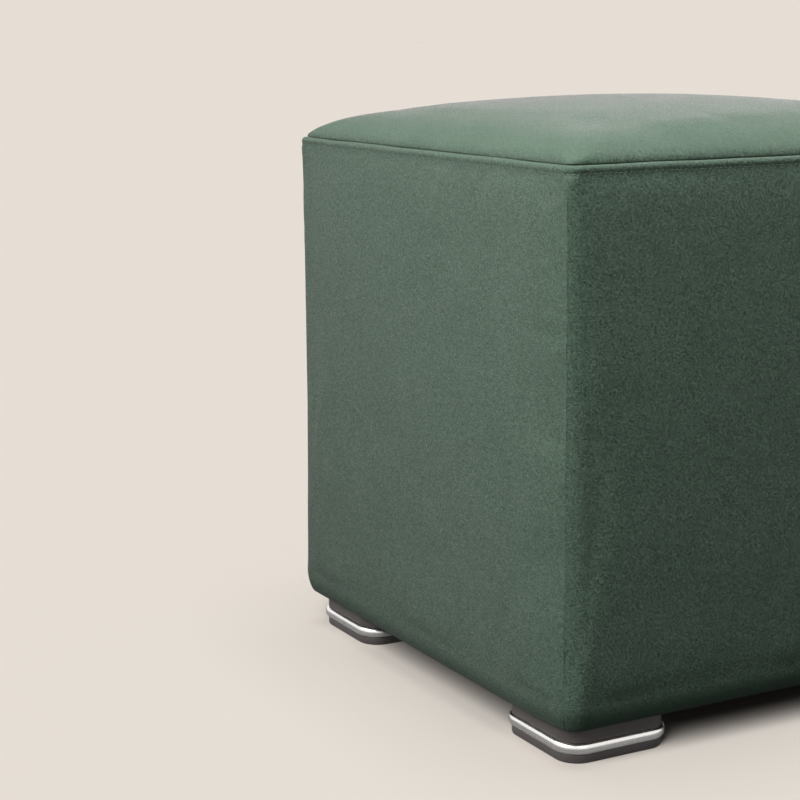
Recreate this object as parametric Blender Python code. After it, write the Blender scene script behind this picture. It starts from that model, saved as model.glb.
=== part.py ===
"""Cube pouf stool: a crowned seat panel on four padded side panels, standing on square feet.

Units are metres and +Z is up. The stool stands on z = 0 with its middle on the Z axis, its front
faces -Y and its right side faces +X. The cover is cut as one seat panel and four side panels.
Each side panel ends at its corners on a mitre plane, where it is sewn to its neighbours, and its
upper edge is turned over and top-stitched into a narrow rolled band under the seat's seam.
"""

import math

import bmesh
import bpy
from mathutils import Vector

# Driving sizes
BODY_WIDTH = 0.404      # across two opposite side panels, just under the band
PANEL_HEIGHT = 0.3875   # from the lower edge of a side panel to the seam under the seat
FOOT_HEIGHT = 0.0275    # from the floor to the lower edge of the side panels
FIT_GAP = 0.0003        # between two pieces that touch

# Side panels
PANEL_THICKNESS = 0.024     # cloth, foam and board together
PANEL_SWELL = 0.002         # how far the lower edge stands out past the edge under the band
PANEL_PILLOW = 0.001        # how far the middle of a panel stands out past its ends
CORNER_RADIUS_TOP = 0.007   # of the upright corner, under the band
CORNER_RADIUS_BOTTOM = 0.020
CORNER_RADIUS_INNER = 0.003
HEM_RADIUS = 0.011          # where the lower edge turns under
SEAM_TUCK = 0.0008          # how deep the cloth dips into an upright corner seam
SEAM_TUCK_BOTTOM = 0.0022   # the same at the lower edge, where the seam opens
SEAM_OPENING_HEIGHT = 0.020
SEAM_STEP = 0.0012          # width of the cloth that dips into the seam

# Rolled band under the seat
BAND_HEIGHT = 0.0065        # from the line of stitches to the seam
BAND_DEPTH = 0.0035         # from the face of the panel in to the seam
STITCH_DEPTH = 0.0009       # how far the stitches pull the cloth in
STITCH_FLANK = 0.004        # height of the slope from the face down into the stitches
LEDGE_DEPTH = 0.0035        # from the seam down to the ledge that carries the seat's edge
CORNER_DIP = 0.0012         # how far the corner pulls the seam down
CORNER_DIP_LENGTH = 0.030
CORNER_DIP_HEIGHT = 0.050   # the height below the band over which the pull fades

# Seat
SEAT_ROLL_HEIGHT = 0.0185   # the rounded edge: how high it climbs, and over what width
SEAT_ROLL_WIDTH = 0.045
SEAT_CROWN = 0.0165         # the further rise to the middle of the seat
SEAT_CROWN_POWER = 2.1      # 2 is a parabola from edge to edge, more is flatter in the middle
SEAT_EDGE_DROP = 0.0008     # the seat's roll starts this far below the top of the band
SEAT_CORNER_GROWTH = 0.5    # metres that the corner radius grows for each metre inwards
SEAT_PAD_DEPTH = 0.040      # from the seam down to the underside of the seat's pad
SEAT_CAP_RADIUS = 0.006     # of the small flat patch in the middle

# Underside
BASE_THICKNESS = 0.012

# Feet
FOOT_SIDE = 0.086
FOOT_CORNER_RADIUS = 0.017
FOOT_INSET = 0.0115         # from the nominal face of the body to the side of the foot
FOOT_BEVEL = 0.0008
TRIM_LOW = 0.0067           # lower and upper edges of the bright band round a foot
TRIM_HIGH = 0.0146
TRIM_PROUD = 0.0026         # how far the bright band stands out
TRIM_RECESS = 0.0015        # how deep it is let into the foot

# Facets
CORNER_STEPS = 5            # over the 45 degrees of a panel's corner, or 90 of a whole corner
SIDE_STEPS = 12             # along a straight side
FACE_ROWS = 9               # up the face of a side panel
ARC_STEPS = 4               # over a quarter turn of a small rounding
SEAT_ROLL_ROWS = 9
SEAT_CROWN_ROWS = 9
SHARP_ANGLE = math.radians(40)

PANEL_TURNS = {"panel_front": 0, "panel_right": 90, "panel_back": 180, "panel_left": 270}
FOOT_CORNERS = {
    "front_left": (-1, -1),
    "front_right": (1, -1),
    "back_right": (1, 1),
    "back_left": (-1, 1),
}

half_width = BODY_WIDTH / 2
seam_height = FOOT_HEIGHT + PANEL_HEIGHT
stitch_height = seam_height - BAND_HEIGHT


def clear_scene():
    """Remove every object that the scene starts with."""
    for old in list(bpy.data.objects):
        bpy.data.objects.remove(old, do_unlink=True)


def material(name, colour, roughness, metallic=0.0):
    """A Principled material with one plain colour."""
    made = bpy.data.materials.new(name)
    made.use_nodes = True
    shader = made.node_tree.nodes["Principled BSDF"]
    shader.inputs["Base Color"].default_value = (*colour, 1.0)
    shader.inputs["Roughness"].default_value = roughness
    shader.inputs["Metallic"].default_value = metallic
    made.diffuse_color = (*colour, 1.0)
    return made


def loft(name, loops, finish, closed=False):
    """An object skinned over closed loops of points; closed joins the last loop to the first."""
    shape = bmesh.new()
    rows = [[shape.verts.new(point) for point in loop] for loop in loops]
    pairs = list(zip(rows, rows[1:]))
    if closed:
        pairs.append((rows[-1], rows[0]))
    else:
        shape.faces.new(rows[0])
        shape.faces.new(rows[-1])
    for lower, upper in pairs:
        for index in range(len(lower)):
            after = (index + 1) % len(lower)
            shape.faces.new((lower[index], lower[after], upper[after], upper[index]))
    bmesh.ops.recalc_face_normals(shape, faces=shape.faces)
    mesh = bpy.data.meshes.new(name)
    shape.to_mesh(mesh)
    shape.free()
    mesh.materials.append(finish)
    mesh.shade_smooth()
    mesh.set_sharp_from_angle(angle=SHARP_ANGLE)
    made = bpy.data.objects.new(name, mesh)
    bpy.context.scene.collection.objects.link(made)
    return made


def rounded_square(half, radius, height, side_steps=1):
    """Loop of points round a square with rounded corners, anticlockwise from above."""
    radius = min(radius, half)
    loop = []
    for corner in range(4):
        turn = math.radians(90 * corner)
        centre = Vector((half - radius, half - radius))
        arc = []
        for step in range(CORNER_STEPS + 1):
            angle = math.radians(90) * step / CORNER_STEPS
            arc.append(centre + radius * Vector((math.cos(angle), math.sin(angle))))
        following = Vector((radius - half, half))
        for step in range(1, side_steps):
            arc.append(arc[CORNER_STEPS].lerp(following, step / side_steps))
        for point in arc:
            x = point.x * math.cos(turn) - point.y * math.sin(turn)
            y = point.x * math.sin(turn) + point.y * math.cos(turn)
            loop.append(Vector((x, y, height)))
    return loop


def fade(value):
    """Smooth step from 0 to 1."""
    value = min(max(value, 0.0), 1.0)
    return value * value * (3 - 2 * value)


def corner_dip(point, edge):
    """How far a point is pulled down, from its distance to the nearest corner of the cover."""
    nearer = min(edge - abs(point.x), edge - abs(point.y))
    farther = max(edge - abs(point.x), edge - abs(point.y))
    pull = max(0.0, 1 - farther / CORNER_DIP_LENGTH)
    return CORNER_DIP * pull ** 2 * max(0.0, 1 - nearer / CORNER_DIP_LENGTH)


def panel_section():
    """Cut through a side panel, as (inset from the nominal face, height above the floor)."""
    hem_top = FOOT_HEIGHT + HEM_RADIUS
    flank_low = stitch_height - STITCH_FLANK
    section = [(PANEL_THICKNESS, FOOT_HEIGHT)]
    for step in range(ARC_STEPS + 1):
        angle = math.radians(90) * step / ARC_STEPS
        inset = HEM_RADIUS * (1 - math.sin(angle)) - PANEL_SWELL
        section.append((inset, hem_top - HEM_RADIUS * math.cos(angle)))
    for row in range(1, FACE_ROWS + 1):
        share = row / FACE_ROWS
        section.append((-PANEL_SWELL * (1 - share ** 2), hem_top + share * (flank_low - hem_top)))
    section.append((STITCH_DEPTH / 3, stitch_height - STITCH_FLANK / 3))
    section.append((STITCH_DEPTH, stitch_height))
    section.append((STITCH_DEPTH / 3, stitch_height + STITCH_FLANK / 4))
    for step in range(ARC_STEPS + 1):
        angle = math.radians(90) * step / ARC_STEPS
        inset = (BAND_DEPTH - STITCH_DEPTH) * (1 - math.cos(angle))
        section.append((inset, seam_height - BAND_DEPTH * (1 - math.sin(angle))))
    section.append((BAND_DEPTH, seam_height - STITCH_DEPTH))
    section.append((BAND_DEPTH, seam_height - LEDGE_DEPTH))
    section.append((PANEL_THICKNESS, seam_height - LEDGE_DEPTH))
    return section


def seam_tuck(inset, height):
    """How far the end of a panel is drawn in along the mitre, at one point of its section."""
    outer = min(max(1 - inset / BAND_DEPTH, 0.0), 1.0)
    opening = fade(1 - (height - FOOT_HEIGHT) / SEAM_OPENING_HEIGHT)
    return outer * (SEAM_TUCK + (SEAM_TUCK_BOTTOM - SEAM_TUCK) * opening)


def corner_radius(inset, height):
    """Radius of the upright corner at one point of the section."""
    share = fade(1 - (height - FOOT_HEIGHT) / (stitch_height - FOOT_HEIGHT))
    outer = CORNER_RADIUS_TOP + (CORNER_RADIUS_BOTTOM - CORNER_RADIUS_TOP) * share
    return max(outer - max(inset, 0.0), CORNER_RADIUS_INNER)


def panel_stations():
    """Stations along a panel, from mitre to mitre, as (which end, share of its arc or side)."""
    bends = list(range(CORNER_STEPS + 1))
    stations = [("start", step) for step in bends]
    stations += [("side", step / SIDE_STEPS) for step in range(1, SIDE_STEPS)]
    stations += [("end", step) for step in reversed(bends)]
    return stations


def panel_point(inset, height, station):
    """Place one point of the section at one station of the front panel."""
    half = half_width - inset - FIT_GAP / math.sqrt(2)
    radius = corner_radius(inset, height)
    centre = half - radius
    where, step = station
    if where == "side":
        across = 2 * step - 1
        rise = (height - FOOT_HEIGHT) / PANEL_HEIGHT
        pillow = PANEL_PILLOW * (1 - across ** 2) * math.sin(math.pi * rise)
        outer = 1.0 if inset < BAND_DEPTH else 0.0
        point = Vector((across * centre, -half - pillow * outer, height))
    else:
        quarter = math.radians(45)
        first = min(SEAM_STEP / (radius * quarter), 1 / CORNER_STEPS)
        shares = [0.0] + [first + (1 - first) * k / (CORNER_STEPS - 1) for k in range(CORNER_STEPS)]
        angle = quarter * (1 - shares[step])
        reach = radius - (seam_tuck(inset, height) if step == 0 else 0.0)
        x = centre + reach * math.sin(angle)
        y = centre + reach * math.cos(angle)
        point = Vector((x if where == "end" else -x, -y, height))
    pull = fade((height - stitch_height) / CORNER_DIP_HEIGHT + 1)
    point.z -= corner_dip(point, half_width) * pull
    return point


def make_panels(cloth):
    """Four equal side panels, each turned to its side and moved out to open its mitre gaps."""
    section = panel_section()
    loops = [[panel_point(inset, z, station) for inset, z in section] for station in panel_stations()]
    panels = []
    for name, turn in PANEL_TURNS.items():
        panel = loft(name, loops, cloth)
        outward = math.radians(turn - 90)
        step = FIT_GAP / math.sqrt(2)
        panel.location = (step * math.cos(outward), step * math.sin(outward), 0)
        panel.rotation_euler.z = math.radians(turn)
        panels.append(panel)
    return panels


def seat_height(point, depth):
    """Height of the seat above its seam: the rounded edge, then the crown."""
    edge = half_width - BAND_DEPTH
    share = min(depth / SEAT_ROLL_WIDTH, 1.0)
    roll = SEAT_ROLL_HEIGHT * math.sqrt(1 - (1 - share) ** 2)
    crown_x = 1 - min(abs(point.x) / edge, 1.0) ** SEAT_CROWN_POWER
    crown_y = 1 - min(abs(point.y) / edge, 1.0) ** SEAT_CROWN_POWER
    return roll + SEAT_CROWN * crown_x * crown_y


def seat_loop(depth):
    """One ring of the seat's upper face, a given distance in from its edge."""
    half = half_width - BAND_DEPTH - FIT_GAP - depth
    radius = CORNER_RADIUS_TOP - BAND_DEPTH - FIT_GAP + SEAT_CORNER_GROWTH * depth
    loop = rounded_square(half, radius, seam_height - SEAT_EDGE_DROP, SIDE_STEPS)
    for point in loop:
        point.z += seat_height(point, depth)
        point.z -= corner_dip(point, half_width) * (1 - min(depth / SEAT_ROLL_WIDTH, 1.0))
    return loop


def make_seat(cloth):
    """The crowned seat: its pad drops between the side panels, its edge rests on their ledge."""
    inner = half_width - PANEL_THICKNESS - FIT_GAP
    outer = half_width - BAND_DEPTH - FIT_GAP
    edge_radius = CORNER_RADIUS_TOP - BAND_DEPTH - FIT_GAP
    ledge = seam_height - LEDGE_DEPTH + FIT_GAP
    pad_low = rounded_square(inner, CORNER_RADIUS_INNER, seam_height - SEAT_PAD_DEPTH, SIDE_STEPS)
    pad_high = rounded_square(inner, CORNER_RADIUS_INNER, ledge, SIDE_STEPS)
    edge_low = rounded_square(outer, edge_radius, ledge, SIDE_STEPS)
    for loop in (pad_high, edge_low):
        for point in loop:
            point.z -= corner_dip(point, half_width)
    loops = [pad_low, pad_high, edge_low]
    for row in range(SEAT_ROLL_ROWS + 1):
        loops.append(seat_loop(SEAT_ROLL_WIDTH * (row / SEAT_ROLL_ROWS) ** 2))
    crown_span = outer - SEAT_CAP_RADIUS - SEAT_ROLL_WIDTH
    for row in range(1, SEAT_CROWN_ROWS + 1):
        loops.append(seat_loop(SEAT_ROLL_WIDTH + crown_span * row / SEAT_CROWN_ROWS))
    return loft("seat_top", loops, cloth)


def make_base(cloth):
    """The plain panel that closes the underside, level with the turned-under side panels."""
    inner = half_width - PANEL_THICKNESS - FIT_GAP
    loops = []
    for height in (FOOT_HEIGHT, FOOT_HEIGHT + BASE_THICKNESS):
        loops.append(rounded_square(inner, CORNER_RADIUS_INNER, height))
    return loft("base_panel", loops, cloth)


def foot_loop(growth, height):
    """A ring round a foot, grown outwards or inwards from its side."""
    return rounded_square(FOOT_SIDE / 2 + growth, FOOT_CORNER_RADIUS + growth, height)


def make_foot_block(name, plastic):
    """One foot: a low block with softened edges and a recess round it for the bright band."""
    top = FOOT_HEIGHT - FIT_GAP
    outline = [
        (-FOOT_BEVEL, 0.0),
        (0.0, FOOT_BEVEL),
        (0.0, TRIM_LOW - FIT_GAP),
        (-TRIM_RECESS, TRIM_LOW - FIT_GAP),
        (-TRIM_RECESS, TRIM_HIGH + FIT_GAP),
        (0.0, TRIM_HIGH + FIT_GAP),
        (0.0, top - FOOT_BEVEL),
        (-FOOT_BEVEL, top),
    ]
    return loft(name, [foot_loop(growth, height) for growth, height in outline], plastic)


def make_foot_trim(name, chrome):
    """The bright band let into a foot: flat behind, evenly rounded in front."""
    middle = (TRIM_LOW + TRIM_HIGH) / 2
    reach = (TRIM_HIGH - TRIM_LOW) / 2
    back = FIT_GAP - TRIM_RECESS
    outline = [(back, TRIM_LOW)]
    steps = 2 * ARC_STEPS
    for step in range(steps + 1):
        angle = math.radians(180 * step / steps - 90)
        bulge = math.sqrt(max(math.cos(angle), 0.0))
        outline.append((TRIM_PROUD * bulge, middle + reach * math.sin(angle)))
    outline.append((back, TRIM_HIGH))
    loops = [foot_loop(growth, height) for growth, height in outline]
    return loft(name, loops, chrome, closed=True)


def make_feet(plastic, chrome):
    """Four feet, one near each corner, each a block with its bright band."""
    centre = half_width - FOOT_INSET - FOOT_SIDE / 2
    feet = []
    for corner, (side_x, side_y) in FOOT_CORNERS.items():
        block = make_foot_block(f"foot_{corner}", plastic)
        trim = make_foot_trim(f"foot_trim_{corner}", chrome)
        for piece in (block, trim):
            piece.location = (side_x * centre, side_y * centre, 0)
            feet.append(piece)
    return feet


def main():
    clear_scene()
    green_cloth = material("cover_fabric", (0.075, 0.130, 0.094), 0.95)
    dark_cloth = material("base_cloth", (0.020, 0.020, 0.020), 0.95)
    plastic = material("foot_plastic", (0.060, 0.050, 0.046), 0.45)
    chrome = material("foot_chrome", (0.78, 0.78, 0.80), 0.12, metallic=1.0)

    root = bpy.data.objects.new("pouf_root", None)
    bpy.context.scene.collection.objects.link(root)
    pieces = [make_seat(green_cloth), make_base(dark_cloth)]
    pieces += make_panels(green_cloth)
    pieces += make_feet(plastic, chrome)
    for piece in pieces:
        piece.parent = root
        print(piece.name, len(piece.data.vertices), "vertices")


main()
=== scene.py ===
# %% [markdown]
# # Cube pouf stool
#
# The real stool is a light box with foam on it, dressed in one green velour. The seat is cut as one
# crowned panel. Four side panels are sewn to each other along the upright corners. Their upper edge
# is turned over and top-stitched, which makes the narrow rolled band under the seat. The stool
# stands on four square feet of dark plastic, each with a bright band let into it.
#
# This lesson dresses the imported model. The solids keep their places and sizes, and each of them
# that is soft or small gets a finer piece that stands for it. Lengths are in metres.

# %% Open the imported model
import math

import bpy
import numpy as np
from mathutils import Matrix, Vector, noise


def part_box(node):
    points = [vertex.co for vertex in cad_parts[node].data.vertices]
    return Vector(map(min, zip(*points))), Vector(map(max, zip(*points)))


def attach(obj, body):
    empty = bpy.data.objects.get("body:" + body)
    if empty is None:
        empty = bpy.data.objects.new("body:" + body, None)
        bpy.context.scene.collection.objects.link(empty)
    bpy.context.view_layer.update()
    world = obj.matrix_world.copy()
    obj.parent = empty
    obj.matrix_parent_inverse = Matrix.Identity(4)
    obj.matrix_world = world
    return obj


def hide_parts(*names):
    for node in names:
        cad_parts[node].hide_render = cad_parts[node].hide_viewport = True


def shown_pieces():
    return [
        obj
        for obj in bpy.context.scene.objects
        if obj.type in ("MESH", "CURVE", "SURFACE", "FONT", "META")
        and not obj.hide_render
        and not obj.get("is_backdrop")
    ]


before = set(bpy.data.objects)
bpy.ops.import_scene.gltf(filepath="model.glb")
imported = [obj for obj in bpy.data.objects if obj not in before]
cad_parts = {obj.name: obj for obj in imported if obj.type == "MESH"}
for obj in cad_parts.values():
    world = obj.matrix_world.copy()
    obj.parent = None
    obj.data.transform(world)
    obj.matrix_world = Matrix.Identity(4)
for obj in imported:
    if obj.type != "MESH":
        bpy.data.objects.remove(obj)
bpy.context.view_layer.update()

print("solids:", sorted(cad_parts))

# %% [markdown]
# ## The camera
#
# A camera could be placed by eye, or worked out from the straight edges of the cube. The second way
# was chosen: the cube's upright edges nearly keep upright in the picture, and its level edges run to
# two vanishing points, which together give the camera's height, turn and lens. It stands low, just
# above the seat, and looks slightly down. The shift moves the frame without tilting the view more.

# %% Place the camera
def new_object(name, data):
    """An object for some data, put into the scene."""
    made = bpy.data.objects.new(name, data)
    bpy.context.scene.collection.objects.link(made)
    return made


CAMERA_PLACE = Vector((-0.8895, -1.2362, 0.5021))
CAMERA_YAW = math.radians(28.55)     # from +Y towards +X
CAMERA_PITCH = math.radians(-8.68)
CAMERA_ROLL = math.radians(-0.27)
CAMERA_LENS_MM = 86.27
CAMERA_SHIFT = -0.1

camera_data = bpy.data.cameras.new("camera")
camera_data.sensor_width = 36.0
camera_data.lens = CAMERA_LENS_MM
camera_data.shift_y = CAMERA_SHIFT
camera = new_object("camera", camera_data)
ahead = Vector((
    math.sin(CAMERA_YAW) * math.cos(CAMERA_PITCH),
    math.cos(CAMERA_YAW) * math.cos(CAMERA_PITCH),
    math.sin(CAMERA_PITCH),
))
aim = ahead.to_track_quat("-Z", "Y").to_matrix().to_4x4()
camera.matrix_world = Matrix.Translation(CAMERA_PLACE) @ aim @ Matrix.Rotation(CAMERA_ROLL, 4, "Z")
bpy.context.scene.camera = camera
print("camera", CAMERA_LENS_MM, "mm, looking along", [round(value, 3) for value in ahead])

# %% [markdown]
# ## Two small tools for materials
#
# Every finish below is a tree of nodes. Colours are written as hex values, the way a paint or cloth
# card gives them, and turned into the linear light values that the renderer adds up. One function
# adds a node: its settings, and for each socket either a value or the output that feeds it.

# %% Colours and nodes
def linear(code):
    """Linear colour, with alpha, of an sRGB hex value such as #475a4c."""
    shares = [int(code[place:place + 2], 16) / 255 for place in (1, 3, 5)]
    light = [s / 12.92 if s <= 0.04045 else ((s + 0.055) / 1.055) ** 2.4 for s in shares]
    return (*light, 1.0)


def add_node(tree, kind, sockets=None, **settings):
    """Add one node to a tree, set it up and join or fill its sockets."""
    node = tree.nodes.new(kind)
    for name, value in settings.items():
        setattr(node, name, value)
    for name, value in (sockets or {}).items():
        if isinstance(value, bpy.types.NodeSocket):
            tree.links.new(value, node.inputs[name])
        else:
            node.inputs[name].default_value = value
    return node


def new_material(name):
    """A material with an empty tree, and its tree."""
    made = bpy.data.materials.new(name)
    made.use_nodes = True
    made.node_tree.nodes.clear()
    return made, made.node_tree


print("green of the cloth in linear light:", [round(v, 3) for v in linear("#475a4c")])

# %% [markdown]
# ## Finish: short-pile polyester velour
#
# Velour is knitted or woven with a dense pile that is sheared to about half a millimetre. The pile
# hides the weave. What the eye sees is a matt, sandy grain, because every tuft stands its own way and
# catches the light differently. It also sees faint clumps and clouds of tone, and a pale sheen where
# the cloth is seen nearly edge-on. The cloth could be made of real hairs, which would be millions of
# them. Here each tuft is a small cell with its own tone and its own way, with hollows between the
# cells as bump, and the edge-on paleness is the shader's sheen, which is made for such fibres.

# %% Make the velour
TUFT_SIZE = 0.0006       # one tuft of the pile
TUFT_LEAN = 0.88         # sideways share of the way a tuft points, from end to end of its range
TUFT_HEIGHT = 0.0003     # how deep the hollows between tufts are
CLUMP_SIZE = 0.0060      # the widest clumps of tufts; the smaller ones are down to an eighth of that
CLUMP_TURN = (0.6, 0.5, 0.3)     # so that no face of the stool cuts the noise along its own axes
PATCH_SIZE = 0.045       # one cloud where the pile leans another way
PILE_DARK = (0.96, 0.96, 0.96, 1.0)     # how much darker or paler than the cloth's tone a tuft or a
PILE_PALE = (1.04, 1.04, 1.04, 1.0)     # clump of them is

velour, tree = new_material("short_pile_velour")
place = add_node(tree, "ShaderNodeTexCoord").outputs["Object"]
turned = add_node(tree, "ShaderNodeMapping", {
    "Vector": place, "Rotation": CLUMP_TURN,
}).outputs["Vector"]
tufts = add_node(tree, "ShaderNodeTexVoronoi", {"Vector": turned, "Scale": 1 / TUFT_SIZE})
clumps = add_node(tree, "ShaderNodeTexNoise", {
    "Vector": turned, "Scale": 1 / CLUMP_SIZE, "Detail": 3.0, "Roughness": 0.8,
})
patches = add_node(tree, "ShaderNodeTexNoise", {
    "Vector": turned, "Scale": 1 / PATCH_SIZE, "Detail": 3.0, "Roughness": 0.6,
})
lean = add_node(tree, "ShaderNodeMapRange", {
    "Value": patches.outputs["Fac"], "From Min": 0.3, "From Max": 0.7, "To Min": 0.0, "To Max": 1.0,
})
cloth_tone = add_node(tree, "ShaderNodeMix", {
    "Factor": lean.outputs["Result"], "A": linear("#475a4c"), "B": linear("#4b5e50"),
}, data_type="RGBA")
clump_share = add_node(tree, "ShaderNodeMapRange", {
    "Value": clumps.outputs["Fac"], "From Min": 0.3, "From Max": 0.7, "To Min": 0.0, "To Max": 1.0,
})
pile_tone = add_node(tree, "ShaderNodeMix", {
    "Factor": clump_share.outputs["Result"], "A": PILE_DARK, "B": PILE_PALE,
}, data_type="RGBA")
cloth_colour = add_node(tree, "ShaderNodeMix", {
    "Factor": 1.0, "A": cloth_tone.outputs["Result"], "B": pile_tone.outputs["Result"],
}, data_type="RGBA", blend_type="MULTIPLY")
sideways = add_node(tree, "ShaderNodeVectorMath", {
    0: tufts.outputs["Color"], 1: (0.5, 0.5, 0.5),
}, operation="SUBTRACT")
tuft_share = add_node(tree, "ShaderNodeSeparateColor", {"Color": tufts.outputs["Color"]})
tuft_tone = add_node(tree, "ShaderNodeMix", {
    "Factor": tuft_share.outputs["Red"], "A": PILE_DARK, "B": PILE_PALE,
}, data_type="RGBA")
tuft_colour = add_node(tree, "ShaderNodeMix", {
    "Factor": 1.0, "A": cloth_colour.outputs["Result"], "B": tuft_tone.outputs["Result"],
}, data_type="RGBA", blend_type="MULTIPLY")
straight = add_node(tree, "ShaderNodeNewGeometry")
tuft_way = add_node(tree, "ShaderNodeVectorMath", {
    0: sideways.outputs["Vector"], 1: (TUFT_LEAN, TUFT_LEAN, TUFT_LEAN), 2: straight.outputs["Normal"],
}, operation="MULTIPLY_ADD")
pile_bump = add_node(tree, "ShaderNodeBump", {
    "Height": tufts.outputs["Distance"], "Strength": 1.0, "Distance": TUFT_HEIGHT,
    "Normal": tuft_way.outputs["Vector"],
}, invert=True)
surface = add_node(tree, "ShaderNodeBsdfPrincipled", {
    "Base Color": tuft_colour.outputs["Result"],
    "Roughness": 1.0,
    "Specular IOR Level": 0.0,
    "Sheen Weight": 0.15,
    "Sheen Roughness": 0.3,
    "Sheen Tint": linear("#ffeef5"),
    "Normal": pile_bump.outputs["Normal"],
})
add_node(tree, "ShaderNodeOutputMaterial", {"Surface": surface.outputs["BSDF"]})
print(velour.name, len(tree.nodes), "nodes")

# %% [markdown]
# ## Finish: polyester sewing thread
#
# The top-stitching is sewn with a green twisted thread a little darker than the cloth. Its twist is
# far finer than the picture shows, so it is drawn as stripes half a millimetre apart. They give the
# thread a broken, slightly glossy look.

# %% Make the thread's finish
THREAD_TWIST = 0.0005    # real twist is about 0.3 mm, drawn coarser so that it shows at all

thread_finish, tree = new_material("polyester_sewing_thread")
place = add_node(tree, "ShaderNodeTexCoord").outputs["Object"]
twist = add_node(tree, "ShaderNodeTexWave", {
    "Vector": place, "Scale": 0.05 / THREAD_TWIST, "Distortion": 2.0, "Detail": 1.0,
}, bands_direction="DIAGONAL")
thread_tone = add_node(tree, "ShaderNodeMix", {
    "Factor": twist.outputs["Fac"], "A": linear("#48574c"), "B": linear("#5e6e62"),
}, data_type="RGBA")
twist_bump = add_node(tree, "ShaderNodeBump", {
    "Height": twist.outputs["Fac"], "Strength": 0.5, "Distance": 0.0001,
})
surface = add_node(tree, "ShaderNodeBsdfPrincipled", {
    "Base Color": thread_tone.outputs["Result"],
    "Roughness": 0.7,
    "Specular IOR Level": 0.2,
    "Normal": twist_bump.outputs["Normal"],
})
add_node(tree, "ShaderNodeOutputMaterial", {"Surface": surface.outputs["BSDF"]})
print(thread_finish.name, len(tree.nodes), "nodes")

# %% [markdown]
# ## Finish: injection-moulded ABS
#
# The feet are moulded in dark taupe ABS. The mould's fine spark texture makes them satin, and the
# plastic flows in faint level streaks. So the roughness changes a little from place to place, and
# the tone changes in thin bands that run level round the foot.

# %% Make the plastic
MOULD_GRAIN = 0.0006     # spark texture is about 0.1 mm, drawn coarser so that it shows at all
FLOW_LENGTH = 0.030      # a streak of flow along the foot
FLOW_HEIGHT = 0.0012     # and its height

plastic, tree = new_material("moulded_abs_plastic")
place = add_node(tree, "ShaderNodeTexCoord").outputs["Object"]
level = add_node(tree, "ShaderNodeMapping", {
    "Vector": place, "Scale": (1 / FLOW_LENGTH, 1 / FLOW_LENGTH, 1 / FLOW_HEIGHT),
})
flow = add_node(tree, "ShaderNodeTexNoise", {
    "Vector": level.outputs["Vector"], "Scale": 1.0, "Detail": 2.0, "Roughness": 0.6,
})
spark = add_node(tree, "ShaderNodeTexNoise", {
    "Vector": place, "Scale": 1 / MOULD_GRAIN, "Detail": 1.0, "Roughness": 0.5,
})
plastic_tone = add_node(tree, "ShaderNodeMix", {
    "Factor": flow.outputs["Fac"], "A": linear("#4d4745"), "B": linear("#625c5a"),
}, data_type="RGBA")
satin = add_node(tree, "ShaderNodeMapRange", {
    "Value": flow.outputs["Fac"], "From Min": 0.3, "From Max": 0.7, "To Min": 0.38, "To Max": 0.5,
})
spark_bump = add_node(tree, "ShaderNodeBump", {
    "Height": spark.outputs["Fac"], "Strength": 0.15, "Distance": 0.0001,
})
surface = add_node(tree, "ShaderNodeBsdfPrincipled", {
    "Base Color": plastic_tone.outputs["Result"],
    "Roughness": satin.outputs["Result"],
    "IOR": 1.53,
    "Normal": spark_bump.outputs["Normal"],
})
add_node(tree, "ShaderNodeOutputMaterial", {"Surface": surface.outputs["BSDF"]})
print(plastic.name, len(tree.nodes), "nodes")

# %% [markdown]
# ## Finish: satin chrome plating
#
# The bands are plastic with a thin plating of chrome, polished and then left slightly satin. The eye
# sees a blurred picture of the room: a bright line on the shoulder that faces the light, greys below.
# Faint lines along the band come from its drawing and polishing.

# %% Make the chrome
POLISH_LENGTH = 0.020
POLISH_HEIGHT = 0.0005   # real polishing lines are far finer, drawn as coarse as the picture shows

chrome, tree = new_material("satin_chrome_plating")
place = add_node(tree, "ShaderNodeTexCoord").outputs["Object"]
along = add_node(tree, "ShaderNodeMapping", {
    "Vector": place, "Scale": (1 / POLISH_LENGTH, 1 / POLISH_LENGTH, 1 / POLISH_HEIGHT),
})
polish = add_node(tree, "ShaderNodeTexNoise", {
    "Vector": along.outputs["Vector"], "Scale": 1.0, "Detail": 2.0, "Roughness": 0.5,
})
chrome_tone = add_node(tree, "ShaderNodeMix", {
    "Factor": polish.outputs["Fac"], "A": linear("#d6d3cf"), "B": linear("#eae7e3"),
}, data_type="RGBA")
chrome_satin = add_node(tree, "ShaderNodeMapRange", {
    "Value": polish.outputs["Fac"], "From Min": 0.3, "From Max": 0.7, "To Min": 0.22, "To Max": 0.3,
})
surface = add_node(tree, "ShaderNodeBsdfPrincipled", {
    "Base Color": chrome_tone.outputs["Result"],
    "Metallic": 1.0,
    "Roughness": chrome_satin.outputs["Result"],
})
add_node(tree, "ShaderNodeOutputMaterial", {"Surface": surface.outputs["BSDF"]})
print(chrome.name, len(tree.nodes), "nodes")

# %% [markdown]
# ## Finish: spun-bonded lining cloth
#
# The underside is closed with a black cloth of melted polypropylene threads, pressed together in a
# grid of tiny dots. It is matt, slightly fibrous, and the dots are a little glossier and lower.

# %% Make the lining cloth
DOT_PITCH = 0.002

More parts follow.
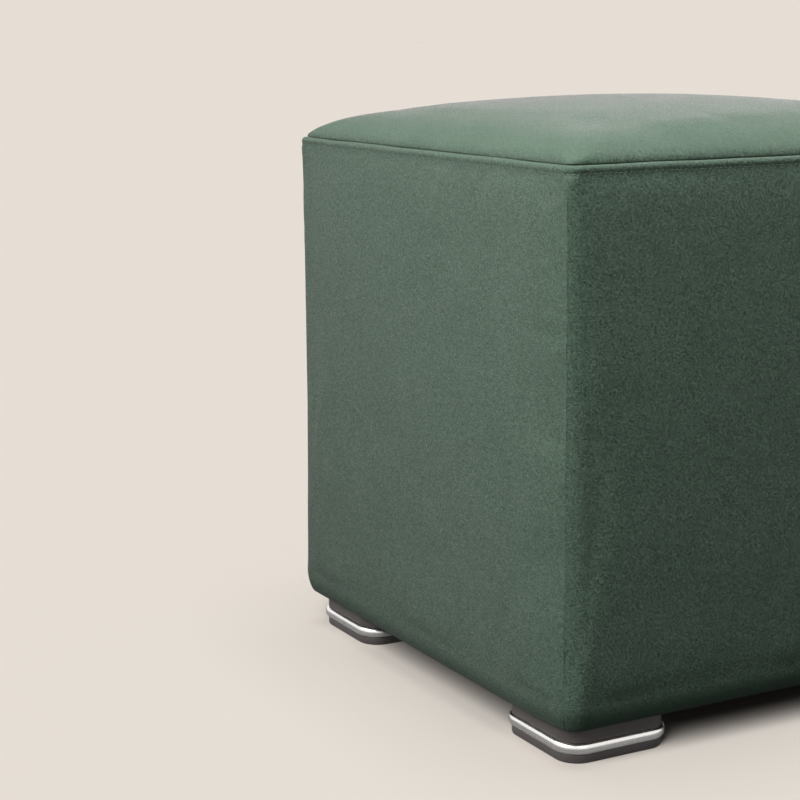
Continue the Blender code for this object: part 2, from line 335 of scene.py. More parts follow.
lining, tree = new_material("spun_bonded_lining_cloth")
place = add_node(tree, "ShaderNodeTexCoord").outputs["Object"]
dots = add_node(tree, "ShaderNodeTexVoronoi", {
    "Vector": place, "Scale": 1 / DOT_PITCH, "Randomness": 0.15,
})
fibres = add_node(tree, "ShaderNodeTexNoise", {
    "Vector": place, "Scale": 2 / DOT_PITCH, "Detail": 3.0, "Distortion": 1.0,
})
dot_edge = add_node(tree, "ShaderNodeMapRange", {
    "Value": dots.outputs["Distance"], "From Min": 0.25, "From Max": 0.4,
})
lining_tone = add_node(tree, "ShaderNodeMix", {
    "Factor": fibres.outputs["Fac"], "A": linear("#1c1c1c"), "B": linear("#2e2d2c"),
}, data_type="RGBA")
lining_gloss = add_node(tree, "ShaderNodeMapRange", {
    "Value": dot_edge.outputs["Result"], "To Min": 0.6, "To Max": 0.95,
})
dot_bump = add_node(tree, "ShaderNodeBump", {
    "Height": dot_edge.outputs["Result"], "Strength": 0.5, "Distance": 0.0002,
})
surface = add_node(tree, "ShaderNodeBsdfPrincipled", {
    "Base Color": lining_tone.outputs["Result"],
    "Roughness": lining_gloss.outputs["Result"],
    "Normal": dot_bump.outputs["Normal"],
})
add_node(tree, "ShaderNodeOutputMaterial", {"Surface": surface.outputs["BSDF"]})
print(lining.name, len(tree.nodes), "nodes")

# %% [markdown]
# ## The sizes of the cover
#
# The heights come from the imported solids. The other sizes are those of the cut and sewn cloth: how
# far a panel swells, how round its corners are, how the band rolls over. Each is a real size on the
# stool, so a reader can change one and see what it does.

# %% Sizes of the cover
panel_low, panel_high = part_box("panel_front")
lower_edge = panel_low.z
pad_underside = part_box("seat_top")[0].z

BODY_WIDTH = 0.404           # across two opposite side panels, just under the band
FIT_GAP = 0.0003             # between two pieces that touch
PANEL_THICKNESS = 0.024      # cloth, foam and board together
PANEL_SWELL = 0.002          # how far the lower edge stands out past the edge under the band
CORNER_RADIUS_TOP = 0.0055   # of the upright corner, at the band
CORNER_RADIUS_BOTTOM = 0.020
CORNER_RADIUS_BAND = 0.0095   # of the band itself
CORNER_RADIUS_INNER = 0.0015
CORNER_GROWTH = 0.22         # height below the band over which the radius grows
CORNER_GROWTH_POWER = 0.8    # below 1, it grows faster at first
BAND_BLEND = 0.004           # height over which a corner changes from the band's round to the panel's
HEM_HEIGHT = 0.020           # over which the lower edge turns under
HEM_DEPTH = 0.006            # and how far in
SEAM_OFFSET = 0.0018         # how far to the left of the corner's middle the upright seam is
SEAM_OFFSET_LIMIT = 0.4      # and never more than this share of the corner's radius
SEAM_CREASE = {-1: 0.75, 1: 0.25}    # share of its turn that each side of a corner leaves to the crease
SEAM_CREASE_BOTTOM = {-1: 0.75, 1: -0.2}     # the same at the lower edge; below 0 it turns further
SEAM_GAP = 0.0001            # between the two panels in an upright seam
SEAM_ROLL = 0.0006           # width of the cloth that rolls into the seam
SEAM_ROLL_LIMIT = 0.5        # and never more than this share of a side of the corner
SEAM_DEPTH = 0.0003          # and how deep it goes, on average
SEAM_DEPTH_BOTTOM = 0.0022   # the same at the lower edge, where the seam opens
SEAM_OPENING = 0.020         # height over which it opens

SEAM_SINK = 0.0020           # the band's top edge is this far below the top of the solid
BAND_HEIGHT = 0.0057         # from the line of stitches to the band's top edge
BAND_BELLY = 0.0002          # how far the rolled band stands out past the panel under it
BAND_TOP_INSET = 0.0026      # where the top of the roll is, from the face of the panel
BAND_ROLL_HEIGHT = 0.0029    # from the belly of the roll up to its top
GROOVE_INSET = 0.0046        # the seam under the seat
STITCH_DEPTH = 0.0001        # how far the stitches pull the cloth in
STITCH_FLANK = 0.0030        # height of the slope from the face down into the stitches
FLANK_POWER = 2.2            # how late on that slope the cloth turns in
LEDGE_DEPTH = 0.0035         # from the seam down to the ledge that carries the seat's edge

half_width = BODY_WIDTH / 2
seam = panel_high.z - SEAM_SINK
stitch_line = seam - BAND_HEIGHT
hem_top = lower_edge + HEM_HEIGHT
flank_low = stitch_line - STITCH_FLANK
print("side panels from", round(lower_edge, 4), "to", round(seam, 4), "m")

# %% [markdown]
# ## A padded surface
#
# Foam pushes the cloth out, the seams hold it back, and the cloth is never equally tight all over.
# The usual ways to get this are sculpting, noise, or a cloth simulation. Here the cloth is simulated,
# because it finds by itself how a held sheet swells: fast near the seams and flatter in the middle.
# Only the movement is kept, with a soft cap, and laid on a much finer mesh through splines. So the
# narrow seams, which a simulation can't hold, stay crisp.

# %% Let cloth swell between its seams
SIM_FRAMES = 20
SIM_PRESSURE = 4.0
SIM_UNEVENNESS = 0.012       # how much more or less cloth there is from place to place
SLACK_SIZE = 0.06            # and how far apart such places are


def grid_faces(rows, columns):
    """Corner numbers of the faces of a grid of points."""
    corners = np.arange(rows * columns).reshape(rows, columns)
    faces = np.stack([corners[:-1, :-1], corners[1:, :-1], corners[1:, 1:], corners[:-1, 1:]], axis=-1)
    return faces.reshape(-1, 4)


def mesh_object(name, points, faces, *finishes):
    """A smooth-shaded object from points and the corner numbers of its faces."""
    mesh = bpy.data.meshes.new(name)
    mesh.from_pydata(np.asarray(points).reshape(-1, 3).tolist(), [], [list(map(int, f)) for f in faces])
    for finish in finishes:
        mesh.materials.append(finish)
    mesh.validate()
    mesh.shade_smooth()
    return new_object(name, mesh)


def swelling(points, cap, seed):
    """How far each point of a sheet, held at its border, moves when foam pushes it out."""
    rows, columns = points.shape[:2]
    sheet = mesh_object("sheet", points, grid_faces(rows, columns))
    held = sheet.vertex_groups.new(name="held")
    slack = sheet.vertex_groups.new(name="slack")
    border = np.ones((rows, columns), bool)
    border[1:-1, 1:-1] = False
    held.add(np.flatnonzero(border).tolist(), 1.0, "REPLACE")
    for number, vertex in enumerate(sheet.data.vertices):
        unevenness = noise.noise(Vector(vertex.co) / SLACK_SIZE + Vector((seed, 0, 0)))
        slack.add([number], min(max(0.5 + unevenness, 0.0), 1.0), "REPLACE")
    cloth = sheet.modifiers.new("cloth", "CLOTH")
    cloth.settings.vertex_group_mass = "held"
    cloth.settings.vertex_group_shrink = "slack"
    cloth.settings.shrink_min = -SIM_UNEVENNESS
    cloth.settings.shrink_max = SIM_UNEVENNESS
    cloth.settings.use_pressure = True
    cloth.settings.uniform_pressure_force = SIM_PRESSURE
    cloth.settings.effector_weights.gravity = 0.0
    cloth.collision_settings.use_collision = False
    cloth.point_cache.frame_start = 1
    cloth.point_cache.frame_end = SIM_FRAMES
    for moment in range(1, SIM_FRAMES + 1):
        bpy.context.scene.frame_set(moment)
    settled = sheet.evaluated_get(bpy.context.evaluated_depsgraph_get()).data
    moved = np.zeros(rows * columns * 3)
    settled.vertices.foreach_get("co", moved)
    bpy.data.objects.remove(sheet)
    bpy.context.scene.frame_set(1)
    move = moved.reshape(points.shape) - points
    length = np.maximum(np.linalg.norm(move, axis=-1, keepdims=True), 1e-9)
    return np.round(move * cap * np.tanh(length / cap) / length, 6)


def smooth_sample(field, across, up):
    """Read a grid of values at shares 0 to 1 along its two ways, through cubic B-splines."""
    for places in (across, up):
        before, after = 2 * field[:1] - field[1:2], 2 * field[-1:] - field[-2:-1]
        field = np.concatenate([before, field, after])
        steps = np.asarray(places) * (len(field) - 3)
        first = np.clip(np.floor(steps).astype(int), 0, len(field) - 4)
        t = (steps - first).reshape(-1, *[1] * (field.ndim - 1))
        weights = ((1 - t) ** 3, 3 * t**3 - 6 * t**2 + 4, -3 * t**3 + 3 * t**2 + 3 * t + 1, t**3)
        field = sum(weight / 6 * field[first + step] for step, weight in enumerate(weights))
        field = np.swapaxes(field, 0, 1)
    return field


def wander(distances, length, seed):
    """A smooth random wave between about -1 and 1, read at distances along a seam."""
    return np.array([noise.noise(Vector((d / length, seed, 0.5))) for d in distances]) * 2


def fade(values):
    """Smooth step from 0 to 1."""
    values = np.clip(values, 0.0, 1.0)
    return values * values * (3 - 2 * values)


print("a sheet is simulated for", SIM_FRAMES, "frames")

# %% [markdown]
# ## The side panels
#
# A side panel is one flat cut of cloth over foam. It ends at each corner in the upright seam, where
# the cloth rolls in. At the lower edge it turns under, and at the upper edge it is folded back and
# stitched down, so that it rolls over into the seam under the seat. The corner is rounder towards the
# floor, where the foam is fuller. Its seam lies a little to one side of the corner's middle and pulls
# a soft crease into it. The panel could be a box with bevels, but each of these edges has a shape of
# its own, so it is woven from one upright cut through it, carried from corner to corner.

# %% The cut through a side panel
HEM_ROWS = 10
FACE_ROWS = 100
FLANK_ROWS = 5
BELLY_ROWS = 5
ROLL_ROWS = 9
FLANK_SPACING = 0.7          # below 1, the rows of the flank lie closer towards the stitches
ROLL_END = math.acos((BAND_TOP_INSET - GROOVE_INSET) / (BAND_TOP_INSET + BAND_BELLY))


def panel_cut():
    """The outer line of the cut, from the hem up to the seam, as insets and heights."""
    turn = np.linspace(0, math.pi / 2, HEM_ROWS + 1)
    insets = [HEM_DEPTH * (1 - np.sin(turn)) - PANEL_SWELL]
    heights = [hem_top - HEM_HEIGHT * np.cos(turn)]
    share = np.linspace(0, 1, FACE_ROWS + 1)[1:]
    insets.append(-PANEL_SWELL * (1 - share**2))
    heights.append(hem_top + share * (flank_low - hem_top))
    share = np.linspace(0, 1, FLANK_ROWS + 1)[1:] ** FLANK_SPACING
    insets.append(STITCH_DEPTH * share**FLANK_POWER)
    heights.append(flank_low + share * STITCH_FLANK)
    belly = BAND_HEIGHT - BAND_ROLL_HEIGHT
    share = np.linspace(0, 1, BELLY_ROWS + 1)[1:]
    insets.append(STITCH_DEPTH - (STITCH_DEPTH + BAND_BELLY) * np.sin(math.pi / 2 * share))
    heights.append(stitch_line + belly * share)
    turn = np.linspace(0, ROLL_END, ROLL_ROWS + 1)[1:]
    insets.append(BAND_TOP_INSET - (BAND_TOP_INSET + BAND_BELLY) * np.cos(turn))
    heights.append(seam + BAND_ROLL_HEIGHT * (np.sin(turn) - 1))
    return np.concatenate(insets), np.concatenate(heights)


cut_insets, cut_heights = panel_cut()
stitch_row = HEM_ROWS + 1 + FACE_ROWS + FLANK_ROWS - 1
stitch_height = round(cut_heights[stitch_row], 4)
print(len(cut_insets), "rows; the stitches are in row", stitch_row, "at", stitch_height)

# %% Carry the cut from corner to corner
STITCHES = 98                # along one side, about 4 mm from hole to hole
CORNER_STATIONS = 8          # over the round of a corner, past the cloth that rolls into the seam
ROLL_STATIONS = 4            # over that roll
SEAM_WANDER = 0.014          # height over which the depth of an upright seam changes
SIDE_STATIONS = 4 * (STITCHES - 1)   # along the straight of a side, four to a stitch


def growth_share(heights):
    """How far the corner's radius has grown at a height: 0 at the band and 1 near the floor."""
    return np.clip((stitch_line - heights) / CORNER_GROWTH, 0, 1) ** CORNER_GROWTH_POWER


def corner_radius(insets, heights):
    """Radius of the upright corner: larger towards the floor, smaller for what lies deeper."""
    outer = CORNER_RADIUS_TOP + (CORNER_RADIUS_BOTTOM - CORNER_RADIUS_TOP) * growth_share(heights)
    outer += (CORNER_RADIUS_BAND - CORNER_RADIUS_TOP) * fade(1 - (stitch_line - heights) / BAND_BLEND)
    return np.maximum(outer - np.maximum(insets, 0), CORNER_RADIUS_INNER)


def seam_depth(insets, heights):
    """How deep the cloth rolls into an upright seam: unevenly, and not at all behind the band."""
    uneven = SEAM_DEPTH * (1 + wander(heights, SEAM_WANDER, 5.5))
    uneven = uneven * fade((stitch_line - heights) / BAND_BLEND)
    opening = (SEAM_DEPTH_BOTTOM - SEAM_DEPTH) * fade(1 - (heights - lower_edge) / SEAM_OPENING)
    return np.clip(1 - insets / GROOVE_INSET, 0, 1) * (uneven + opening)


def corner_arc(way, radius, half, heights, depth, corner_steps, roll_steps):
    """Stations from the seam at a panel's end round to its face, the way out at each, and where it ends.

    way is 1 where the seam is at the left end of the panel, seen from outside, and -1 at its right end.
    """
    full = math.radians(45) + way * np.arcsin(np.minimum(SEAM_OFFSET / radius, SEAM_OFFSET_LIMIT))
    crease = SEAM_CREASE[way] + (SEAM_CREASE_BOTTOM[way] - SEAM_CREASE[way]) * growth_share(heights)
    turn = full * (1 - crease * fade((stitch_line - heights) / BAND_BLEND))
    wide = radius * (1 - np.cos(full)) / (1 - np.cos(turn))
    end = half - radius * (1 - np.sin(full)) - wide * np.sin(turn)
    centre = np.stack([end, half - wide], axis=-1)
    roll = SEAM_ROLL * (1 - np.cos(np.linspace(0, math.pi / 2, roll_steps + 1)))
    rolled = np.minimum(roll[:, None] / (wide * turn), SEAM_ROLL_LIMIT)
    sunk = 1 - np.sqrt(1 - (1 - roll / SEAM_ROLL) ** 2)
    rest = np.linspace(0, 1, corner_steps + 1)[1:, None]
    bends = np.concatenate([rolled, rolled[-1] + rest * (1 - rolled[-1])])
    reach = wide - np.concatenate([sunk, np.zeros(corner_steps)])[:, None] * depth
    angle = turn * (1 - bends)
    out = np.stack([-np.sin(angle), -np.cos(angle)], axis=-1)
    return out * reach[..., None] - centre, out, end


def panel_grid(insets, heights, corner_steps, roll_steps, side_steps):
    """Points of the front panel, station by station, and the way out of the panel at each."""
    radius = corner_radius(insets, heights)
    half = half_width - insets - SEAM_GAP / math.sqrt(2)
    given = (radius, half, heights, seam_depth(insets, heights), corner_steps, roll_steps)
    left, left_out, left_end = corner_arc(1, *given)
    right, right_out, right_end = corner_arc(-1, *given)
    across = np.linspace(0, 1, side_steps + 1)[1:-1, None]
    along = across * right_end - (1 - across) * left_end
    side = np.stack([along, np.broadcast_to(-half, along.shape)], axis=-1)
    flat = np.broadcast_to(np.array([0.0, -1.0]), side.shape)
    mirror = np.array([-1.0, 1.0])
    plan = np.concatenate([left, side, right[::-1] * mirror])
    ways = np.concatenate([left_out, flat, right_out[::-1] * mirror])
    z = np.broadcast_to(heights, plan.shape[:2])
    points = np.concatenate([plan, z[..., None]], axis=-1)
    ways = np.concatenate([ways, np.zeros_like(z)[..., None]], axis=-1)
    return points, ways


def distance_along(line):
    """Distance from its start of each point of a line."""
    return np.concatenate([[0.0], np.cumsum(np.linalg.norm(np.diff(line, axis=0), axis=1))])


panel_stations = (CORNER_STATIONS, ROLL_STATIONS, SIDE_STATIONS)
stations, rows = panel_grid(cut_insets, cut_heights, *panel_stations)[0].shape[:2]
print("a panel has", stations, "stations of", rows, "rows")

# %% [markdown]
# ## What sewing does to the edge
#
# A needle pulls the cloth in at every hole, and between two holes the cloth puffs up a little. The
# fold is turned over by hand, so the band's height and the line of stitches wander by a few tenths of
# a millimetre. Both are added to the points of the panel, after the swelling.

# %% Make the four side panels
PANEL_CAP = 0.0013           # furthest that the foam pushes the face of a panel out
CAGE_STEP = 0.006            # size of a face in the simulated sheet
CAGE_CORNER_STATIONS = 2     # of that sheet over the round of a corner
CAGE_ROLL_STATIONS = 1       # and over the roll into the seam
NEEDLE_DEPTH = 0.00012       # how much deeper the cloth is at a hole than between two
NEEDLE_REACH = 0.0022        # how far above and below the holes the cloth follows
BAND_WANDER = 0.00022        # how far the band's edges wander up and down
WANDER_LENGTH = 0.035        # length of one such wave
WANDER_END = 0.01            # where it fades out, before each corner
WANDER_REACH = 0.006         # and how far below the flank the cloth follows it
PANEL_TURNS = {"front": 0, "right": 90, "back": 180, "left": 270}


def sew_edge(points, ways, seed):
    """Dimple the line of stitches, and let the band and the stitches wander."""
    along = distance_along(points[:, stitch_row])
    pitch = along[-1] / STITCHES
    hole = np.cos(math.pi * (along / pitch - 0.5)) ** 4
    near = np.exp(-(((cut_heights - stitch_line) / NEEDLE_REACH) ** 2))
    points = points - ways * (NEEDLE_DEPTH * hole[:, None] * near[None, :])[..., None]
    ends = fade(np.minimum(along, along[-1] - along) / WANDER_END)
    low = wander(along, WANDER_LENGTH, seed) * ends
    high = wander(along, WANDER_LENGTH, seed + 7.3) * ends
    share = np.clip((cut_heights - stitch_line) / BAND_HEIGHT, 0, 1)[None, :]
    shift = low[:, None] * (1 - share) + high[:, None] * share
    reach = fade((cut_heights - flank_low + WANDER_REACH) / WANDER_REACH)[None, :]
    points[..., 2] += BAND_WANDER * shift * reach
    return points


def panel_cage(count):
    """The face of a panel as an even coarse sheet, from seam to seam and hem to stitches."""
    heights = np.linspace(hem_top, flank_low, count)
    share = (heights - hem_top) / (flank_low - hem_top)
    straight = count - 2 * (CAGE_CORNER_STATIONS + CAGE_ROLL_STATIONS)
    insets = -PANEL_SWELL * (1 - share**2)
    return panel_grid(insets, heights, CAGE_CORNER_STATIONS, CAGE_ROLL_STATIONS, straight)[0]


def make_panel(side, turn):
    """One side panel, closed behind, turned to its side of the stool."""
    points, ways = panel_grid(cut_insets, cut_heights, *panel_stations)
    cage = panel_cage(round((flank_low - hem_top) / CAGE_STEP))
    move = swelling(cage, PANEL_CAP, seed=turn / 10)
    place = distance_along(cage[:, len(cage[0]) // 2])
    own = distance_along(points[:, HEM_ROWS + FACE_ROWS // 2])
    across = np.interp(own / own[-1], place / place[-1], np.linspace(0, 1, len(place)))
    up = np.clip((cut_heights - hem_top) / (flank_low - hem_top), 0, 1)
    points = points + smooth_sample(move, across, up)
    points = sew_edge(points, ways, seed=turn / 10 + 1)
    behind_insets = np.array([GROOVE_INSET, PANEL_THICKNESS, PANEL_THICKNESS])
    behind_heights = np.array([seam - LEDGE_DEPTH, seam - LEDGE_DEPTH, lower_edge])
    behind = panel_grid(behind_insets, behind_heights, *panel_stations)[0]
    points = np.concatenate([points, behind], axis=1)
    outward = math.radians(turn - 90)
    spin = np.array(Matrix.Rotation(math.radians(turn), 3, "Z"))
    step = SEAM_GAP / math.sqrt(2) * np.array([math.cos(outward), math.sin(outward), 0.0])
    points = points @ spin.T + step
    panel = mesh_object(f"side_panel_{side}", points, closed_faces(*points.shape[:2]), velour)
    return panel, points[:, stitch_row]


def closed_faces(stations, rows):
    """Faces of a solid whose stations are closed rings of points, capped at both ends."""
    ring = np.concatenate([np.arange(rows), [0]])
    numbers = np.arange(stations)[:, None] * rows + ring[None, :]
    sides = np.stack([numbers[:-1, :-1], numbers[:-1, 1:], numbers[1:, 1:], numbers[1:, :-1]], axis=-1)
    caps = [list(range(rows))[::-1], [(stations - 1) * rows + row for row in range(rows)]]
    return sides.reshape(-1, 4).tolist() + caps


side_panels = {}
stitch_lines = []
for side, turn in PANEL_TURNS.items():
    side_panels[side], line = make_panel(side, turn)
    stitch_lines.append(line)
    print(side_panels[side].name, len(side_panels[side].data.polygons), "faces")

# %% [markdown]
# ## The seat
#
# The seat is one square of cloth over a thick foam cushion. Its edge turns back under itself into the
# seam, and from its widest line it rises in a soft round, from where the cushion crowns towards the
# middle. A patch like this could be lofted from rings, which pinches in the middle, so a square grid
# is used. Each square ring of the grid is pushed into a ring with round corners, rounder inwards.

# %% Make the seat
SEAT_WIDEST = 0.0011         # height of the edge's widest line above the band
SEAT_UNDER_RADIUS = 0.0017   # below that line the edge turns back under itself, into the seam
SEAT_UNDER_TURN = math.radians(50)
SEAT_ROLL_HEIGHT = 0.0186    # above it: how high the rounded edge climbs, and over what width
SEAT_ROLL_WIDTH = 0.045
SEAT_CROWN = 0.0165          # the further rise to the middle of the seat
SEAT_CROWN_POWER = 2.1
SEAT_CORNER_SOFTNESS = 0.010     # how much the corner radius grows at once, just inside the edge
SEAT_CORNER_START = 0.001    # and over what way inwards
SEAT_CORNER_GROWTH = 0.4     # metres that it grows for each metre further inwards
SEAT_CAP = 0.0014            # furthest that the foam pushes the seat out
UNDER_LINES = 4              # grid lines under the edge's widest line
EDGE_LINES = 16              # and over the round above it
CROWN_LINE_STEP = 0.0035     # between two grid lines over the crown
SEAT_CAGE_LINES = 65         # of the simulated sheet, each way

seat_half = half_width - GROOVE_INSET - FIT_GAP + SEAT_UNDER_RADIUS * (1 - math.cos(SEAT_UNDER_TURN))
seat_corner = CORNER_RADIUS_BAND - (half_width - seat_half)


def seat_lines():
    """Places of the grid lines from edge to edge, closer together where the edge is round."""
    edge = SEAT_ROLL_WIDTH * np.linspace(0, 1, EDGE_LINES + 1) ** 2
    crown_half = seat_half - SEAT_ROLL_WIDTH
    count = math.ceil(crown_half / CROWN_LINE_STEP)
    crown = crown_half * np.linspace(1, 0, count + 1)
    under = SEAT_UNDER_RADIUS * SEAT_UNDER_TURN * np.linspace(1, 0, UNDER_LINES + 1)[:-1]
    positive = np.concatenate([seat_half + under, seat_half - edge, crown[1:]])
    return np.concatenate([-positive[:-1], positive[::-1]])


def seat_surface(lines, settle):
    """Points of the seat over a grid of lines, with its crown lowered by settle."""
    x, y = np.meshgrid(lines, lines, indexing="ij")
    given = np.maximum(np.abs(x), np.abs(y))
    under = np.clip(given - seat_half, 0, None) / SEAT_UNDER_RADIUS
    ring = np.minimum(given, seat_half) - SEAT_UNDER_RADIUS * (1 - np.cos(under))
    inwards = seat_half - ring
    soft = SEAT_CORNER_SOFTNESS * (1 - np.exp(-inwards / SEAT_CORNER_START))
    radius = np.minimum(seat_corner + soft + SEAT_CORNER_GROWTH * inwards, ring)
    near = np.minimum(np.abs(x), np.abs(y)) * ring / np.maximum(given, 1e-9)
    share = np.clip((near - ring + radius) / np.maximum(radius, 1e-9), 0, 1)
    far_side = ring - radius + radius * np.cos(math.radians(45) * share)
    near_side = np.where(share > 0, ring - radius + radius * np.sin(math.radians(45) * share), near)
    wide = np.abs(x) >= np.abs(y)
    x = np.sign(x) * np.where(wide, far_side, near_side)
    y = np.sign(y) * np.where(wide, near_side, far_side)
    depth = np.clip((seat_half - given) / SEAT_ROLL_WIDTH, 0, 1)
    crown = 1.0
    for place in (x, y):
        outwards = np.clip(np.abs(place) / (half_width - GROOVE_INSET), 0, 1)
        crown = crown * (1 - outwards**SEAT_CROWN_POWER)
    z = seam + SEAT_WIDEST - SEAT_UNDER_RADIUS * np.sin(under)
    z = z + SEAT_ROLL_HEIGHT * np.sqrt(1 - (1 - depth) ** 2) + (SEAT_CROWN - settle) * crown
    return np.stack([x, y, z], axis=-1)


def make_seat():
    """The crowned seat, closed below by its edge on the ledge and its pad between the panels."""
    lines = seat_lines()
    cage_lines = np.linspace(-seat_half, seat_half, SEAT_CAGE_LINES)
    cage = seat_surface(cage_lines, settle=SEAT_CAP)
    share = np.clip((lines + seat_half) / (2 * seat_half), 0, 1)
    settle = SEAT_CAP
    move = swelling(cage, SEAT_CAP, seed=40)
    points = seat_surface(lines, settle=settle) + smooth_sample(move, share, share)
    count = len(lines)
    top_faces = grid_faces(count, count)
    numbers = np.arange(count * count).reshape(count, count)
    rim = np.concatenate([numbers[:-1, 0], numbers[-1, :-1], numbers[:0:-1, -1], numbers[0, :0:-1]])
    inner = half_width - PANEL_THICKNESS - FIT_GAP
    flat = points.reshape(-1, 3)
    rim_points = flat[rim]
    ledge = rim_points.copy()
    ledge[:, 2] = seam - LEDGE_DEPTH + FIT_GAP
    pad = ledge.copy()
    pad[:, :2] = np.clip(pad[:, :2], -inner, inner)
    low = pad.copy()
    low[:, 2] = pad_underside
    every = np.concatenate([flat, ledge, pad, low])
    rings = [rim] + [len(flat) + step * len(rim) + np.arange(len(rim)) for step in range(3)]
    faces = [list(map(int, face)) for face in top_faces]
    for upper, lower in zip(rings, rings[1:]):
        for here, there in zip(range(len(rim)), [*range(1, len(rim)), 0]):
            faces.append([upper[here], lower[here], lower[there], upper[there]])
    faces.append(rings[-1][::-1].tolist())
    return mesh_object("seat_cushion", every, faces, velour)


seat = make_seat()
crest = max(vertex.co.z for vertex in seat.data.vertices)
print(seat.name, len(seat.data.polygons), "faces, crest at", round(crest, 4))

# %% [markdown]
# ## The top-stitching
#
# One line of thread holds the band's fold down, all round the stool. It is hundreds of equal short
# stitches on one path, which is what Geometry Nodes are good at: the path is cut into points one
# stitch apart, and at each of them lies a short spindle of thread along the path. Every stitch leans
# and varies a little, from a fixed seed.

# %% Build the tree that sews
THREAD_DIAMETER = 0.00055
STITCH_LENGTH = 0.0031
STITCH_LEAN = math.radians(5)


def sewing_tree():
    """A Geometry Nodes tree that lays stitches along the curve that it is given."""
    tree = bpy.data.node_groups.new("sew_top_stitches", "GeometryNodeTree")
    tree.is_modifier = True
    face = tree.interface
    face.new_socket("Geometry", in_out="INPUT", socket_type="NodeSocketGeometry")
    for name in ("Count", "Seed"):
        face.new_socket(name, in_out="INPUT", socket_type="NodeSocketInt")
    for name in ("Stitch Length", "Thread Diameter", "Lean"):
        face.new_socket(name, in_out="INPUT", socket_type="NodeSocketFloat")
    face.new_socket("Thread", in_out="INPUT", socket_type="NodeSocketMaterial")
    face.new_socket("Geometry", in_out="OUTPUT", socket_type="NodeSocketGeometry")
    given = add_node(tree, "NodeGroupInput").outputs
    path = add_node(tree, "GeometryNodeMeshToCurve", {"Mesh": given["Geometry"]})
    marks = add_node(tree, "GeometryNodeResampleCurve", {
        "Curve": path.outputs["Curve"], "Count": given["Count"],
    })
    spindle = add_node(tree, "GeometryNodeMeshUVSphere", {"Segments": 6, "Rings": 5, "Radius": 0.5})
    smooth = add_node(tree, "GeometryNodeSetShadeSmooth", {"Geometry": spindle.outputs["Mesh"]})
    tangent = add_node(tree, "GeometryNodeInputTangent")
    turned = add_node(tree, "FunctionNodeAlignRotationToVector", {"Vector": tangent.outputs[0]}, axis="Z")
    minus = add_node(tree, "ShaderNodeMath", {0: given["Lean"], 1: -1.0}, operation="MULTIPLY")
    lean = add_node(tree, "FunctionNodeRandomValue", {
        "Min": minus.outputs[0], "Max": given["Lean"], "Seed": given["Seed"],
    }, data_type="FLOAT")
    lean_angles = add_node(tree, "ShaderNodeCombineXYZ", {
        "X": lean.outputs["Value"], "Y": lean.outputs["Value"],
    })
    lean_turn = add_node(tree, "FunctionNodeEulerToRotation", {"Euler": lean_angles.outputs["Vector"]})
    rotation = add_node(tree, "FunctionNodeRotateRotation", {
        "Rotation": turned.outputs["Rotation"], "Rotate By": lean_turn.outputs["Rotation"],
    }, rotation_space="LOCAL")
    vary = add_node(tree, "FunctionNodeRandomValue", {
        "Min": 0.9, "Max": 1.08, "Seed": given["Seed"],
    }, data_type="FLOAT")
    length = add_node(tree, "ShaderNodeMath", {
        0: given["Stitch Length"], 1: vary.outputs["Value"],
    }, operation="MULTIPLY")
    size = add_node(tree, "ShaderNodeCombineXYZ", {
        "X": given["Thread Diameter"], "Y": given["Thread Diameter"], "Z": length.outputs[0],
    })
    stitches = add_node(tree, "GeometryNodeInstanceOnPoints", {
        "Points": marks.outputs["Curve"], "Instance": smooth.outputs["Geometry"],
        "Rotation": rotation.outputs["Rotation"], "Scale": size.outputs["Vector"],
    })
    real = add_node(tree, "GeometryNodeRealizeInstances", {"Geometry": stitches.outputs["Instances"]})
    finished = add_node(tree, "GeometryNodeSetMaterial", {
        "Geometry": real.outputs["Geometry"], "Material": given["Thread"],
    })
    add_node(tree, "NodeGroupOutput", {"Geometry": finished.outputs["Geometry"]})
    return tree


def run_tree(path, tree, name, values):
    """Run a tree on a path and keep what it makes as a plain mesh object."""
    worker = path.modifiers.new("maker", "NODES")
    worker.node_group = tree
    for item in tree.interface.items_tree:
        if item.in_out == "INPUT" and item.name in values:
            worker[item.identifier] = values[item.name]
    evaluated = path.evaluated_get(bpy.context.evaluated_depsgraph_get())
    mesh = bpy.data.meshes.new_from_object(evaluated)
    mesh.name = name
    path.modifiers.remove(worker)
    bpy.data.objects.remove(path)
    return new_object(name, mesh)


def path_object(name, points):
    """A closed path, as a mesh of edges."""
    mesh = bpy.data.meshes.new(name)
    count = len(points)
    edges = [(number, (number + 1) % count) for number in range(count)]
    mesh.from_pydata(np.asarray(points).tolist(), edges, [])
    return new_object(name, mesh)


stitch_path = np.concatenate([line[:-1] for line in stitch_lines])
stitching = run_tree(path_object("stitch_path", stitch_path), sewing_tree(), "top_stitching", {
    "Count": 4 * STITCHES, "Seed": 3, "Stitch Length": STITCH_LENGTH,
    "Thread Diameter": THREAD_DIAMETER, "Lean": STITCH_LEAN, "Thread": thread_finish,
})
print(stitching.name, 4 * STITCHES, "stitches,", len(stitching.data.polygons), "faces")

# %% [markdown]
# ## The feet
#
# Each foot is one moulded block with round corners and softened edges, and a shallow channel round
# it for the bright band. A moulded block like this has the same outline at every height, so it is
# stacked from rings: the outline, drawn in or out by the rounding of the edges and by the channel.

# %% Sizes of a foot, and a ring round it
foot_low, foot_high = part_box("foot_front_left")
bright_low, bright_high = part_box("foot_trim_front_left")
foot_middle = (foot_low + foot_high) / 2
foot_half = (foot_high.x - foot_low.x) / 2
foot_reach = abs(foot_middle.x)
channel_low = bright_low.z - FIT_GAP
channel_high = bright_high.z + FIT_GAP

